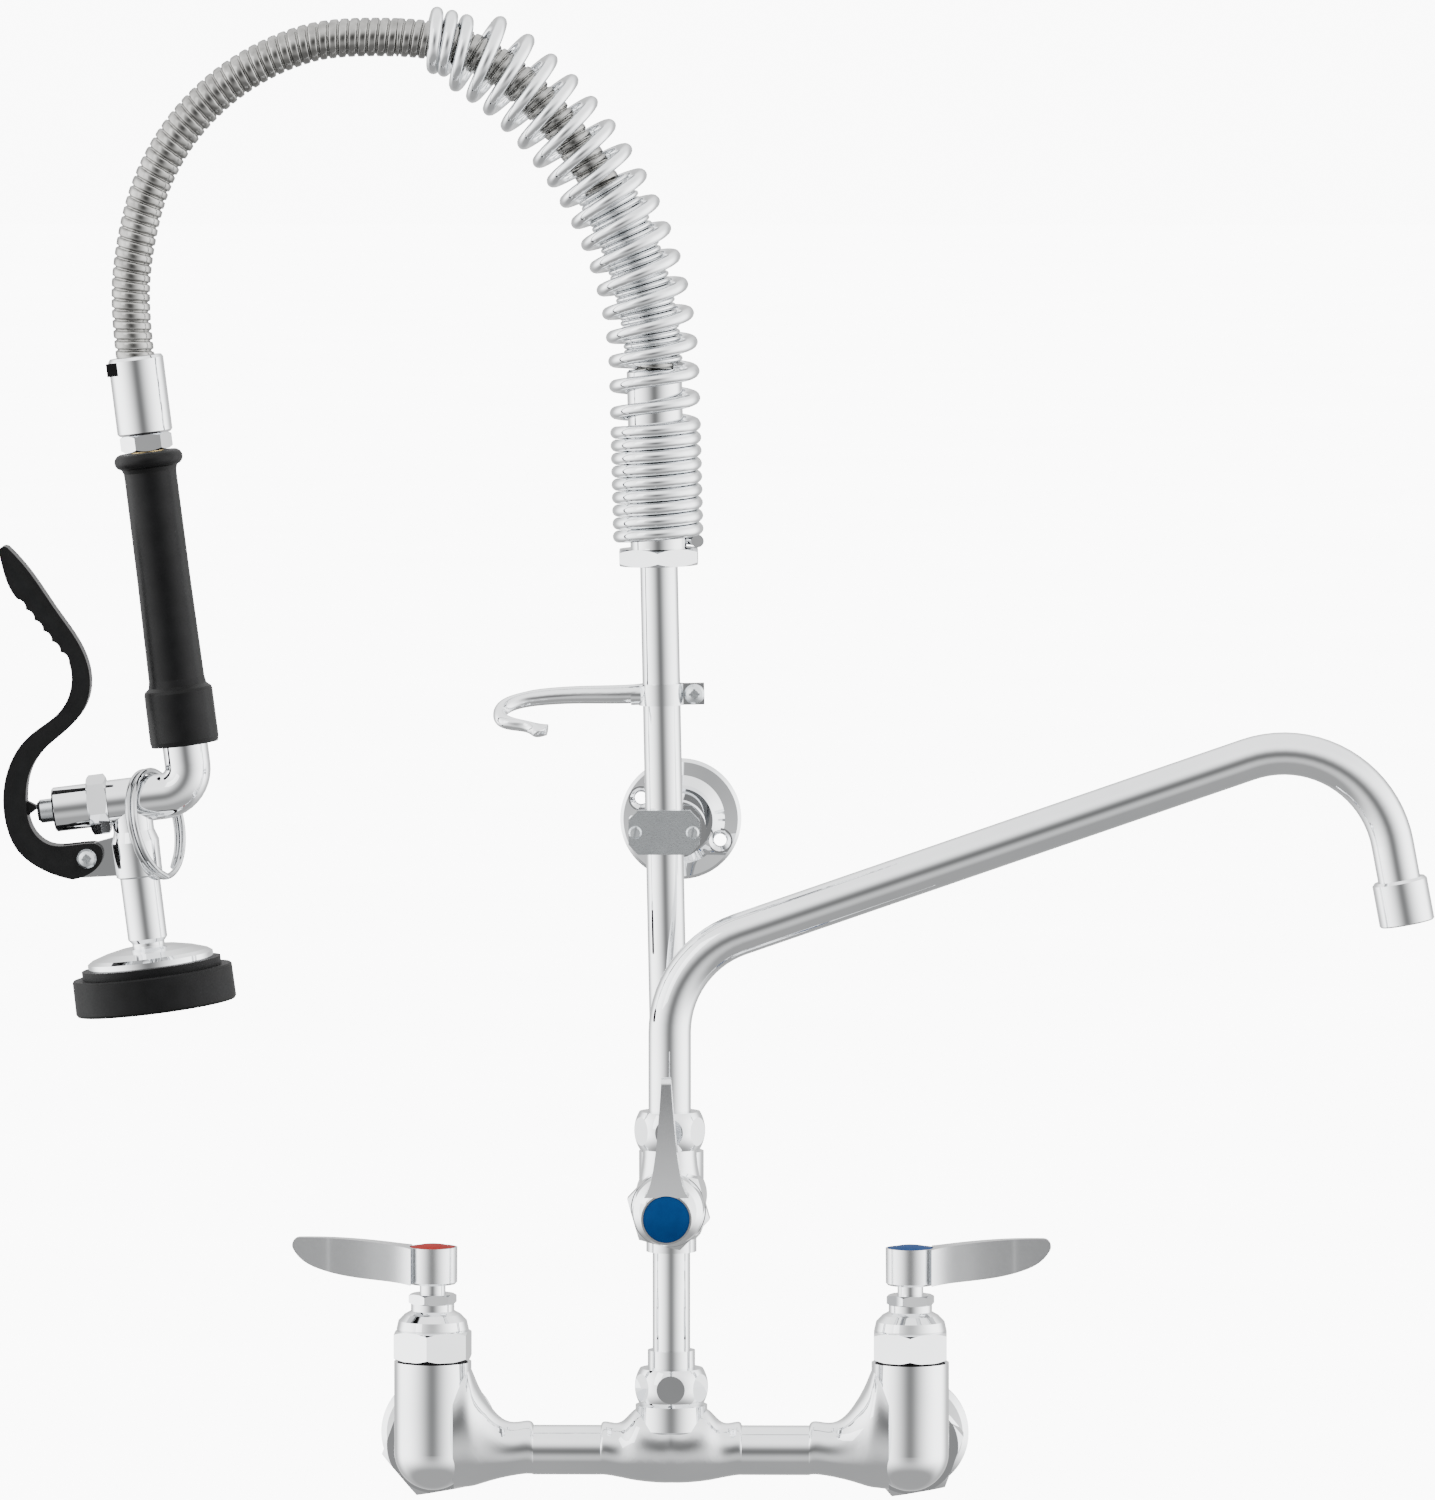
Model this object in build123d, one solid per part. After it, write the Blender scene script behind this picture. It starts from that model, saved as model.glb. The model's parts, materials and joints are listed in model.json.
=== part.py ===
from build123d import *
import os
from math import cos, pi, radians, sin, tan

# Wall-mounted pre-rinse faucet. Millimetres, +Z up, +X towards the cold side, -Y towards the user.
# The origin is the point on the wall midway between the two inlets.

# ---- Driving dimensions ----------------------------------------------------------------------
INLET_CENTRES = 203.2
BODY_Y = -65.0
TOWER_X = INLET_CENTRES / 2
RUNNING_GAP = 0.05

TOWER_R = 16.5
TOWER_TOP = 38.7
BRIDGE_R = 10.6
BRIDGE_Z = 0.8
CENTRE_R = 15.3
CENTRE_TOP = 20.4

NIPPLE_R = 8.0
NIPPLE_COLLAR_R = 10.1
ADDON_Z = 110.0
ADDON_FACE = 43.0
SPOUT_Y = -95.0
NECK_TOP = 142.0

SPOUT_R = 9.0
SPOUT_CORNERS = ((0.0, 213.7), (294.4, 315.8))
SPOUT_END = (310.0, 233.0)
SPOUT_BENDS = (44.0, 46.5)

RISER_R = 8.0
RISER_LEAN = 1.15
RISER_FOOT = 119.0
RISER_LENGTH = 270.0

BRACKET_Z = 265.2
BRACKET_X = 2.6
CLAMP_X = -2.9
FLANGE_BOLT_CIRCLE = 38.4
FLANGE_BOLT_R = 2.7

HOOK_HEIGHT = 204.3
BAND_HEIGHT = 9.0

GUARD_START = (-5.4, 387.8)
GUARD_HEADING = 1.4
GUARD_BENDS = ((71.0, 0.0), (144.0, 48.6), (46.0, 38.0))
GUARD_WIRE_R = 2.7
GUARD_COIL_R = 16.6
GUARD_END_COIL_R = 11.6
CLOSED_TURNS = 9
OPEN_TURNS = 17
END_TURNS = 2.25
CLOSED_PITCH = 5.5
OPEN_PITCH = 11.25
SLEEVE_R = 11.7
SLEEVE_TOP = 73.2
INNER_WIRE_R = 1.25
INNER_COIL_R = 11.1
INNER_PITCH = 2.62
INNER_TURNS = 30

HOSE_R = 8.25
HOSE_WALL = 2.25
GUARDED_ROUTE = (
    (-16.0, 512.0),
    (-31.7, 544.5),
    (-53.8, 573.0),
    (-76.6, 592.1),
    (-98.3, 600.4),
    (-115.3, 601.0),
)
FREE_ROUTE = (
    (-115.3, 601.0),
    (-140.8, 601.9),
    (-165.6, 595.0),
    (-188.4, 581.7),
    (-207.0, 563.1),
    (-220.0, 540.3),
    (-226.8, 514.5),
    (-229.4553, 488.0),
    (-226.74, 466.2),
)

SPRAY_TOP = (-226.74, 466.2)
SPRAY_TILT = 7.1
NECK_Z = -186.6
OUTLET_X = -26.2
PIVOT_X = -47.0
PIVOT_Z = -208.4
LEVER_WIDTH = 15.0
LUG_WIDTH = 5.0
RING_R = 23.2
RING_WIRE_R = 1.3


# ---- Shapes that are used again --------------------------------------------------------------
def turned(*profile):
    """Solid of revolution about Z, from (radius, height) points."""
    outline = Polyline(*[(radius, 0, height) for radius, height in profile], close=True)
    return revolve(make_face(outline), Axis.Z)


def rod(radius, low, high):
    """Round bar on the Z axis between two heights."""
    return Pos(0, 0, (low + high) / 2) * Cylinder(radius, high - low)


def hex_bar(flats, low, high, turn=0.0):
    """Hexagonal bar on the Z axis; a turn of 0 puts corners on the X axis."""
    section = RegularPolygon(flats / 2, 6, major_radius=False)
    return Pos(0, 0, low) * Rot(0, 0, turn) * extrude(section, high - low)


def hex_nut(flats, low, high, turn=0.0, bevel=1.0):
    """Hexagonal nut blank with its corners turned off at both ends."""
    corner = flats / 2 / cos(radians(30))
    crop = turned(
        (0, low),
        (corner - 1.7 * bevel, low),
        (corner, low + bevel),
        (corner, high - bevel),
        (corner - 1.7 * bevel, high),
        (0, high),
    )
    return hex_bar(flats, low, high, turn) & crop


def barrel_nut(flats, end_r, middle_r, low, high, turn=0.0):
    """Ball-sided nut: a bulging drum with six flats cut into it."""
    middle = (low + high) / 2
    side = ThreePointArc((end_r, 0, low), (middle_r, 0, middle), (end_r, 0, high))
    ends = Polyline((end_r, 0, high), (0, 0, high), (0, 0, low), (end_r, 0, low))
    drum = revolve(make_face([side, ends]), Axis.Z)
    return drum & hex_bar(flats, low, high, turn)


def along_y(x, z, y=0.0):
    """Location whose Z axis points towards the user, with X kept to the right."""
    return Plane(origin=(x, y, z), x_dir=(1, 0, 0), z_dir=(0, -1, 0)).location


def leaning(x, z, heading):
    """Location in the body's plane whose Z axis leans towards -X by a heading in degrees."""
    lean = radians(heading)
    x_axis, z_axis = (cos(lean), 0, sin(lean)), (-sin(lean), 0, cos(lean))
    return Plane(origin=(x, BODY_Y, z), x_dir=x_axis, z_dir=z_axis).location


def pipe(path, radius, wall=0.0):
    """Round bar or tube swept along a path."""
    section = Circle(radius)
    if wall:
        section = section - Circle(radius - wall)
    return sweep(Plane(origin=path @ 0, z_dir=path % 0) * section, path=path)


def route(points, name):
    """Straight runs joined by the largest arcs that the runs leave room for."""
    corners = [Vector(*point) for point in points]
    radii = []
    for before, corner, after in zip(corners, corners[1:], corners[2:]):
        first, second = corner - before, after - corner
        half_turn = radians(first.get_angle(second) / 2)
        radii.append(0.45 * min(first.length, second.length) / tan(half_turn))
    path = FilletPolyline(*points, radius=radii)
    print(name, "length", round(path.length, 1), "radii", [round(r) for r in radii])
    return path


def bend_line(start, heading, bends, distance):
    """Place and heading after a distance along straights and arcs in the XZ plane.

    Headings are degrees from vertical, leaning towards -X; bends are (length, turn) pairs.
    """
    x, z = start
    for length, turn in bends:
        step = min(distance, length)
        swept = turn * step / length
        middle = radians(heading + swept / 2)
        half = radians(swept / 2)
        chord = step * sin(half) / half if half else step
        x -= chord * sin(middle)
        z += chord * cos(middle)
        heading += swept
        distance -= step
    x -= distance * sin(radians(heading))
    z += distance * cos(radians(heading))
    return x, z, heading


def coil(line, turns, wire_r, points_per_turn=8):
    """Wire wound about a line; line(turn) gives x, z, heading and coil radius.

    The corners stand outside the coil so that the runs between them touch its radius.
    """
    points = []
    for step in range(int(turns * points_per_turn) + 1):
        turn = step / points_per_turn
        x, z, heading, radius = line(turn)
        angle = 2 * pi * turn
        radius /= cos(pi / points_per_turn)
        side = radius * cos(angle)
        tilt = radians(heading)
        points.append((x + side * cos(tilt), BODY_Y + radius * sin(angle), z + side * sin(tilt)))
    return pipe(coil_path(points), wire_r)


def coil_path(points):
    """Smooth wire line through the runs between the given corners."""
    corners = [Vector(*point) for point in points]
    radii = []
    for before, corner, after in zip(corners, corners[1:], corners[2:]):
        first, second = corner - before, after - corner
        half_turn = radians(first.get_angle(second) / 2)
        radii.append(0.45 * min(first.length, second.length) / tan(half_turn))
    return FilletPolyline(*points, radius=radii)


# ---- Base: bridge body and inlets ------------------------------------------------------------
def tower():
    """One valve tower: a round barrel that ends in a ball at the inlet."""
    barrel = rod(TOWER_R, 0, TOWER_TOP)
    ball = Pos(0, 0, 0) * Sphere(TOWER_R)
    shank = Pos(0, 22.5, 0) * Rot(90, 0, 0) * Cylinder(13.0, 14.0)
    return barrel + ball + shank


def flare(sections):
    """Blend between the bridge and a taller shape: ellipses (x, half width, top, bottom)."""
    faces = []
    for x, half_width, top, bottom in sections:
        plane = Plane(origin=(x, 0, (top + bottom) / 2), x_dir=(0, 1, 0), z_dir=(1, 0, 0))
        faces.append(plane * Ellipse(half_width, (top - bottom) / 2))
    return loft(faces)


def bridge_middle():
    """The swelling of the bridge under the centre tower."""
    high, low = BRIDGE_Z + BRIDGE_R, BRIDGE_Z - BRIDGE_R
    half = (
        (30.0, BRIDGE_R, high, low),
        (24.0, 10.9, high + 0.9, low - 0.7),
        (20.0, 11.6, 13.9, low - 1.5),
        (17.0, 12.6, 17.0, low - 2.1),
        (13.0, 13.6, 19.3, low - 2.7),
    )
    left = [(-x, *rest) for x, *rest in half]
    return flare([*left, (0.0, 14.2, 20.0, low - 3.4), *reversed(half)])


def bridge_end(side):
    """Straight run and flare from the middle to one tower; side is -1 or 1."""
    high, low = BRIDGE_Z + BRIDGE_R, BRIDGE_Z - BRIDGE_R
    place = Pos(side * (TOWER_X - 13) / 2, 0, BRIDGE_Z)
    straight = place * Rot(0, 90, 0) * Cylinder(BRIDGE_R, TOWER_X - 73)
    sections = (
        (43.0, BRIDGE_R, high, low),
        (34.0, 10.9, high + 1.2, low - 0.5),
        (28.0, 11.6, 15.4, low - 1.8),
        (24.0, 12.4, 20.2, low - 2.9),
        (20.5, 13.4, 26.0, low - 4.0),
        (17.0, 14.6, 34.0, low - 5.0),
        (9.0, 15.4, 36.5, low - 6.0),
    )
    return straight + flare([(side * (TOWER_X - inset), *rest) for inset, *rest in sections])


def bridge_body():
    body = bridge_middle()
    for side in (-1, 1):
        body += bridge_end(side)
    body += rod(CENTRE_R, 10, CENTRE_TOP)
    for side in (-1, 1):
        body += Pos(side * TOWER_X, 0, 0) * tower()
    body -= Pos(0, 0, BRIDGE_Z) * Rot(0, 90, 0) * Cylinder(5.0, 2 * TOWER_X - 26)
    body -= rod(11.0, 12, 30)
    body -= rod(6.0, 0, 13)
    for side in (-1, 1):
        seat = turned((0, 0), (4.5, 0), (4.5, 9), (11, 9), (11, 30), (13, 30), (13, 45), (0, 45))
        body -= Pos(side * TOWER_X, 0, 0) * seat
        body -= Pos(side * TOWER_X, 16, 0) * Rot(90, 0, 0) * Cylinder(7.0, 32.0)
        body -= Pos(side * (TOWER_X - 13), 0, 0) * rod(3.5, BRIDGE_Z, 17.0)
    return Pos(0, BODY_Y, 0) * body


def inlet_flange():
    """Union tail with its wall flange, turned about Z; the wall is at height 0."""
    body = turned(
        (0, 0),
        (25.0, 0),
        (25.0, 3.0),
        (22.5, 5.5),
        (14.5, 8.0),
        (14.5, 19.0),
        (9.6, 19.0),
        (9.6, 30.0),
        (12.6, 30.0),
        (12.6, 33.5),
        (0, 33.5),
    )
    return body - rod(9.5, -1, 15) - rod(6.0, 14, 34)


def coupling_nut():
    """Union nut; the wall is at height 0."""
    nut = hex_nut(40.0, 28.0, 46.5, 10.0, 1.5)
    return nut - rod(9.7, 27, 31) - rod(13.0, 30.0, 47)


def inlets():
    flanges, nuts, washers = [], [], []
    for side in (-1, 1):
        place = along_y(side * TOWER_X, 0)
        flanges.append(place * inlet_flange())
        nuts.append(place * coupling_nut())
        washers.append(place * (rod(12.4, 33.5, 35.5) - rod(7.0, 33, 36)))
    return flanges, nuts, washers


# ---- Valves: the same stack on both towers and on the add-on faucet ---------------------------
def bonnet_washer():
    return rod(14.9, 0, 0.8) - rod(13.0, -1, 1)


def bonnet_nut(turn):
    """Hexagon with a domed top and a short neck; height 0 is the face of the housing."""
    nut = hex_nut(31.0, 0.8, 13.2, turn, 1.2)
    dome = turned((0, 13.0), (15.2, 13.0), (15.4, 14.0), (14.6, 17.5), (12.0, 20.2), (9.25, 21.7),
                  (9.25, 24.6), (0, 24.6))
    spigot = rod(13.0 - RUNNING_GAP, -8.0, 1.0)
    return nut + dome + spigot - rod(11.0, -9.0, 11.8) - rod(7.0, 11.0, 25.0)


def packing_nut(turn):
    nut = hex_nut(18.0, 24.6, 28.9, turn, 0.7) + rod(6.95, 17.0, 25.0)
    return nut - rod(5.5 + RUNNING_GAP, 16.0, 30.0)


def cartridge():
    body = turned((0, -29.5), (8.5, -29.5), (10.9, -27.5), (10.9, 11.7), (0, 11.7))
    ports = Pos(0, 0, -19) * Rot(90, 0, 0) * Cylinder(3.2, 24)
    return body - ports - rod(4.0 + RUNNING_GAP, -8.0, 12.0)


def stem():
    body = rod(4.0, -7.0, 41.5) + rod(5.5, 13.0, 33.1)
    return body - rod(1.7, 34.0, 42.0)


def handle_screw():
    screw = rod(1.7, 34.5, 41.6) + turned((0, 41.5), (4.0, 41.5), (4.0, 43.0), (3.0, 44.3), (0, 44.6))
    return screw - Pos(0, 0, 44.2) * Box(0.9, 5.0, 1.6) - Pos(0, 0, 44.2) * Box(5.0, 0.9, 1.6)


def lever_handle():
    """Blade handle that points along +X; height 33.1 is the underside of its hub."""
    under = Spline((9.0, 33.2), (31.5, 35.9), (46.8, 39.1), (54.6, 42.7), (59.4, 48.2))
    tip = ThreePointArc((59.4, 48.2), (59.3, 51.3), (56.4, 53.0))
    top = Spline((56.4, 53.0), (40.0, 52.6), (22.0, 50.9), (9.0, 48.9))
    back = Line((9.0, 48.9), (9.0, 33.2))
    side_view = make_face([under, tip, top, back])
    blade = extrude(Plane.XZ * side_view, 12.0, both=True)
    edge = Spline((8.0, 10.0), (12.0, 7.6), (20.0, 5.6), (30.0, 4.2), (43.0, 3.1), (60.0, 1.9),
                  tangents=((1, -0.75), (1, -0.06)))
    far = Line((60.0, 1.9), (60.0, -1.9))
    near = Line((8.0, 10.0), (8.0, -10.0))
    plan = make_face([edge, far, mirror(edge, Plane.XZ), near])
    blade = blade & Pos(0, 0, 30) * extrude(plan, 30.0)
    hub = turned((0, 33.1), (9.7, 33.1), (10.5, 34.0), (10.6, 48.9), (0, 48.9))
    body = hub + blade
    dish = Pos(0, 0, 52.6) * Rot(0, -3.0, 0) * Box(200, 2.0, 1.2)
    return body - rod(9.8, 46.9, 60.0) - rod(4.2, 41.5, 47.0) - rod(4.0, 33.0, 41.5) - dish


def index_cap():
    side = Polyline((9.7, 0, 48.6), (9.7, 0, 46.9), (0, 0, 46.9), (0, 0, 50.2))
    crown = ThreePointArc((9.7, 0, 48.6), (5.0, 0, 49.85), (0, 0, 50.2))
    return revolve(make_face([side, crown]), Axis.Z)


# ---- Centre column and add-on faucet ---------------------------------------------------------
def centre_nut():
    nut = barrel_nut(28.8, 13.4, 15.6, CENTRE_TOP, 36.1, 0)
    return Pos(0, BODY_Y, 0) * (nut + rod(10.95, 12.5, 21) - rod(NIPPLE_R, 12, 37))


def riser_nipple():
    pipe_body = rod(NIPPLE_R, 13.0, 93.0) + rod(NIPPLE_COLLAR_R, 36.1, 43.8)
    return Pos(0, BODY_Y, 0) * (pipe_body - rod(6.0, 12, 94))


def addon_body():
    column = turned(
        (0, 86.0),
        (10.7, 86.0),
        (10.7, 91.5),
        (12.5, 93.5),
        (13.8, 97.0),
        (13.8, 129.0),
        (0, 129.0),
    )
    barrel = along_y(0, ADDON_Z) * rod(15.2, -2.0, ADDON_FACE)
    neck = turned(
        (0, ADDON_Z),
        (12.7, ADDON_Z + 4),
        (12.7, 121.0),
        (11.8, 126.0),
        (11.4, 130.0),
        (11.4, NECK_TOP),
        (0, NECK_TOP),
    )
    body = column + barrel + Pos(0, SPOUT_Y - BODY_Y, 0) * neck
    low, bore_r = ADDON_FACE - 8.7, SPOUT_R + RUNNING_GAP
    seat = turned((0, 3), (4.5, 3), (4.5, 13.5), (11, 13.5), (11, low), (13, low), (13, 50), (0, 50))
    body -= along_y(0, ADDON_Z) * seat
    body -= turned((0, 84), (NIPPLE_R, 84), (NIPPLE_R, 93), (6, 93), (6, 125), (0, 125))
    outlet = turned((0, 112), (4, 112), (4, 123), (bore_r, 123), (bore_r, 150), (0, 150))
    body -= Pos(0, SPOUT_Y - BODY_Y, 0) * outlet
    return Pos(0, BODY_Y, 0) * body - on_riser(rod(RISER_R, 0, 20))


def on_riser(piece):
    """Place a piece on the riser's axis, which leans a little; height 0 is its foot."""
    return leaning(0, RISER_FOOT, RISER_LEAN) * piece


def riser_coupling_nut():
    nut = barrel_nut(26.0, 12.4, 14.0, 10.3, 24.5, 30)
    return on_riser(nut - rod(RISER_R, 9, 26))


def riser_pipe():
    return on_riser(rod(RISER_R, 0.3, RISER_LENGTH) - rod(6.6, -1, RISER_LENGTH + 1))


def riser_top_nut():
    nut = hex_nut(33.0, 259.0, 266.4, 30, 1.5) + rod(11.9, 265.0, 271.0)
    return on_riser(nut - rod(RISER_R, 258, RISER_LENGTH) - rod(6.6, 258, 272))


# ---- Swing spout -----------------------------------------------------------------------------
def spout_nut():
    nut = barrel_nut(27.6, 12.8, 15.0, 133.0, 149.0, 0)
    nut = nut - rod(11.4, 132, 144.2) - rod(SPOUT_R + RUNNING_GAP, 144, 150)
    return Pos(0, SPOUT_Y, 0) * nut


def spout_pipe():
    points = [(0, SPOUT_Y, 123.5)]
    points += [(x, SPOUT_Y, z) for x, z in (*SPOUT_CORNERS, SPOUT_END)]
    tube = pipe(FilletPolyline(*points, radius=SPOUT_BENDS), SPOUT_R, 2.2)
    collar = rod(10.9, 142.3, 143.9) - rod(SPOUT_R - 0.5, 142, 145)
    tube += Pos(0, SPOUT_Y, 0) * collar
    return tube - Pos(0, SPOUT_Y, 0) * o_ring_grooves()


def o_ring_grooves():
    grooves = []
    for height in (127.0, 132.5):
        ring = rod(SPOUT_R + 1.0, height, height + 2.0) - rod(SPOUT_R - 1.2, height - 1, height + 3)
        grooves.append(ring)
    return grooves[0] + grooves[1]


def spout_o_rings():
    rings = []
    for height in (127.0, 132.5):
        section = (SPOUT_R - 1.15, SPOUT_R - 0.02)
        ring = rod(section[1], height + 0.05, height + 1.95) - rod(section[0], height - 1, height + 3)
        rings.append(Pos(0, SPOUT_Y, 0) * ring)
    return rings


def at_spout_end(piece):
    """Place a piece on the outlet's axis; height 0 is the end of the pipe, height rises outwards."""
    (x0, z0), (x1, z1) = SPOUT_CORNERS[1], SPOUT_END
    end = Plane(origin=(x1, SPOUT_Y, z1), x_dir=(0, 1, 0), z_dir=(x1 - x0, 0, z1 - z0))
    return end.location * piece


def spout_nozzle():
    sleeve = turned((0, -15.0), (10.6, -15.0), (11.7, -13.8), (11.7, 3.4), (11.1, 4.0), (0, 4.0))
    return at_spout_end(sleeve - rod(SPOUT_R, -16, 0.2) - rod(9.6, 0, 5))


def flow_straightener():
    disc = rod(9.55, 0.2, 3.0)
    for index in range(6):
        disc -= Rot(0, 0, 60 * index) * Pos(5.6, 0, 0) * rod(1.9, -1, 4)
    return at_spout_end(disc - rod(1.9, -1, 4))


# ---- Wall bracket ----------------------------------------------------------------------------
def wall_flange():
    plate = turned((0, 0), (26.0, 0), (26.0, 2.2), (24.6, 3.6), (19.0, 4.6), (15.0, 7.5), (14.0, 13.0),
                   (0, 13.0))
    plate -= rod(10.5, 2.5, 14)
    sink = turned((0, -1), (FLANGE_BOLT_R, -1), (FLANGE_BOLT_R, 3.4), (4.6, 5.0), (4.6, 9.0), (0, 9.0))
    rim = rod(5.4, 1, 5.6)
    for angle in (-28, 152):
        bolt = Rot(0, 0, angle) * Pos(FLANGE_BOLT_CIRCLE / 2, 0, 0)
        plate = plate + bolt * rim - bolt * sink
    return along_y(BRACKET_X, BRACKET_Z) * plate


def bracket_arm():
    return along_y(BRACKET_X, BRACKET_Z) * (rod(10.5, 2.5, 52.0) - rod(8.2, 8.0, 48.0))


def clamp_blank(low, high):
    """Plate with cut corners, as wide as the two screws need; height is distance from the wall."""
    outline = Polyline(
        (-15.0, -5.2), (-11.0, -9.4), (11.0, -9.4), (15.0, -5.2), (15.0, 5.2), (11.0, 9.4), (-11.0, 9.4),
        (-15.0, 5.2), close=True
    )
    return Pos(0, 0, low) * extrude(make_face(outline), high - low)


def clamp_holes(radius):
    return Pos(-12.15, 0, 0) * rod(radius, 50, 90) + Pos(12.15, 0, 0) * rod(radius, 50, 90)


def clamp_saddle():
    block = clamp_blank(58.0, 68.0) + Pos(BRACKET_X - CLAMP_X, 0, 0) * rod(12.0, 48.5, 59.0)
    block -= Pos(BRACKET_X - CLAMP_X, 0, 0) * rod(10.5, 48, 52.0)
    block = along_y(CLAMP_X, BRACKET_Z) * (block - clamp_holes(1.7))
    return block - on_riser(rod(RISER_R, 120, 170))


def clamp_plate():
    plate = clamp_blank(70.5, 74.8) - clamp_holes(1.8)
    return along_y(CLAMP_X, BRACKET_Z) * plate - on_riser(rod(RISER_R, 120, 170))


def clamp_screws():
    screws = []
    for side in (-12.15, 12.15):
        head = turned((0, 74.8), (2.8, 74.8), (2.8, 75.3), (2.1, 76.1), (0, 76.4))
        screw = head + rod(1.7, 59.0, 74.9) - Pos(0, 0, 76.2) * Rot(0, 0, 80) * Box(7, 0.8, 1.2)
        screws.append(along_y(CLAMP_X + side, BRACKET_Z) * screw)
    return screws


# ---- Finger hook -----------------------------------------------------------------------------
def hook_rod():
    """Tapered bar that curls forwards and down, lofted through round sections."""
    line = Spline(
        (-9.0, 0, 0.6),
        (-30.0, 0, 0.4),
        (-52.0, 0.2, -0.4),
        (-64.5, -3.2, -3.0),
        (-68.8, -10.0, -6.8),
        (-64.0, -16.4, -9.8),
        (-56.5, -19.2, -11.5),
        (-48.0, -20.5, -12.7),
    )
    sections = []
    for step in range(13):
        share = step / 12
        radius = 4.1 - 0.5 * min(share / 0.45, 1) - 1.2 * max(share - 0.45, 0) / 0.55
        sections.append(Plane(origin=line @ share, z_dir=line % share) * Circle(radius))
    return loft(sections)


def finger_hook():
    band = rod(9.7, -BAND_HEIGHT / 2, BAND_HEIGHT / 2)
    ears = Pos(12.6, 0, 0) * Box(11.0, 6.0, BAND_HEIGHT)
    socket = Rot(0, -90, 0) * rod(4.4, 7.0, 13.0)
    hook = band + ears + socket + hook_rod()
    hook -= rod(RISER_R + RUNNING_GAP, -20, 20) + Pos(14.0, 0, 0) * Box(14.0, 2.4, 20.0)
    hook -= Pos(14.0, 0, 0) * Rot(90, 0, 0) * Cylinder(2.0, 20.0)
    return on_riser(Pos(0, 0, HOOK_HEIGHT) * hook)


def hook_screw():
    head = turned((0, 3.0), (4.3, 3.0), (4.3, 3.6), (3.4, 5.0), (1.8, 5.7), (0, 5.8))
    screw = head + rod(2.0, -7.0, 3.1)
    screw -= Pos(0, 0, 5.6) * Box(0.9, 4.6, 2.2) + Pos(0, 0, 5.6) * Box(4.6, 0.9, 2.2)
    nut = Pos(0, 0, -4.6) * Box(7.0, 7.0, 3.2) - rod(2.0, -8.0, 0)
    place = Pos(14.0, 0, HOOK_HEIGHT) * along_y(0, 0)
    return [on_riser(place * screw), on_riser(place * nut)]


# ---- Spring guard and hose -------------------------------------------------------------------
def guard_turn(turn):
    """Where a turn of the spring guard lies, with its radius."""
    closed = min(turn, CLOSED_TURNS)
    opened = min(max(turn - CLOSED_TURNS, 0), OPEN_TURNS)
    ending = max(turn - CLOSED_TURNS - OPEN_TURNS, 0)
    distance = CLOSED_PITCH * (closed + ending) + OPEN_PITCH * opened
    ease = min(max((opened - OPEN_TURNS + 0.6) / 0.6, 0), 1)
    radius = GUARD_COIL_R + (GUARD_END_COIL_R - GUARD_COIL_R) * ease
    return *bend_line(GUARD_START, GUARD_HEADING, GUARD_BENDS, distance), radius


def spring_guard():
    return coil(guard_turn, CLOSED_TURNS + OPEN_TURNS + END_TURNS, GUARD_WIRE_R)


def inner_turn(turn):
    start = SLEEVE_TOP + INNER_WIRE_R + 0.3
    line = bend_line(GUARD_START, GUARD_HEADING, GUARD_BENDS, start + INNER_PITCH * turn)
    return *line, INNER_COIL_R


def inner_spring():
    return coil(inner_turn, INNER_TURNS, INNER_WIRE_R)


def hose_sleeve():
    foot = RISER_FOOT + 271.3
    x, z, heading = bend_line(GUARD_START, GUARD_HEADING, GUARD_BENDS, 0)
    low, high = foot - z, SLEEVE_TOP
    sleeve = turned((0, low), (SLEEVE_R, low), (SLEEVE_R, high - 1.0), (SLEEVE_R - 1.0, high), (0, high))
    return leaning(x, z, heading) * (sleeve - rod(HOSE_R - HOSE_WALL, low - 1, high + 1))


def sleeve_line():
    """Top of the sleeve, and the hose's first corner beyond it, on the sleeve's axis."""
    ends = [bend_line(GUARD_START, GUARD_HEADING, (), SLEEVE_TOP + run) for run in (0, 15.9)]
    return [(x, z) for x, z, heading in ends]


def hose(points, name):
    path = route([(x, BODY_Y, z) for x, z in points], name)
    tube = pipe(path, HOSE_R, HOSE_WALL)
    section = pi * (HOSE_R**2 - (HOSE_R - HOSE_WALL) ** 2)
    print(name, "volume", round(tube.volume), "section times length", round(section * path.length))
    return tube


# ---- Spray valve: its own frame, with height 0 at the top of the hose ferrule -----------------
def in_spray(piece):
    return leaning(*SPRAY_TOP, SPRAY_TILT) * piece


def sideways(x):
    """Location on the plunger's axis, with its Z axis pointing away from the lever."""
    return Plane(origin=(x, 0, NECK_Z), x_dir=(0, 1, 0), z_dir=(1, 0, 0)).location


def plug_notch(slack):
    return Pos(-9.6, -6.0, -4.3) * Box(5.4 - slack, 6.0 - slack, 5.6 - slack)


def hose_ferrule():
    sleeve = turned((0, -33.0), (10.9, -33.0), (11.75, -32.0), (11.75, -1.2), (11.0, 0), (0, 0))
    return in_spray(sleeve - rod(HOSE_R - HOSE_WALL, -34, 1) - plug_notch(0))


def ferrule_plug():
    return in_spray(plug_notch(0.1))


def swivel_nut():
    return in_spray(hex_nut(19.2, -40.0, -33.0, 8, 0.9) - rod(5.0, -41, -32))


def grip_tube():
    return in_spray(rod(7.0, -174.0, -40.3) - rod(5.0, -175, -40))


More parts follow.
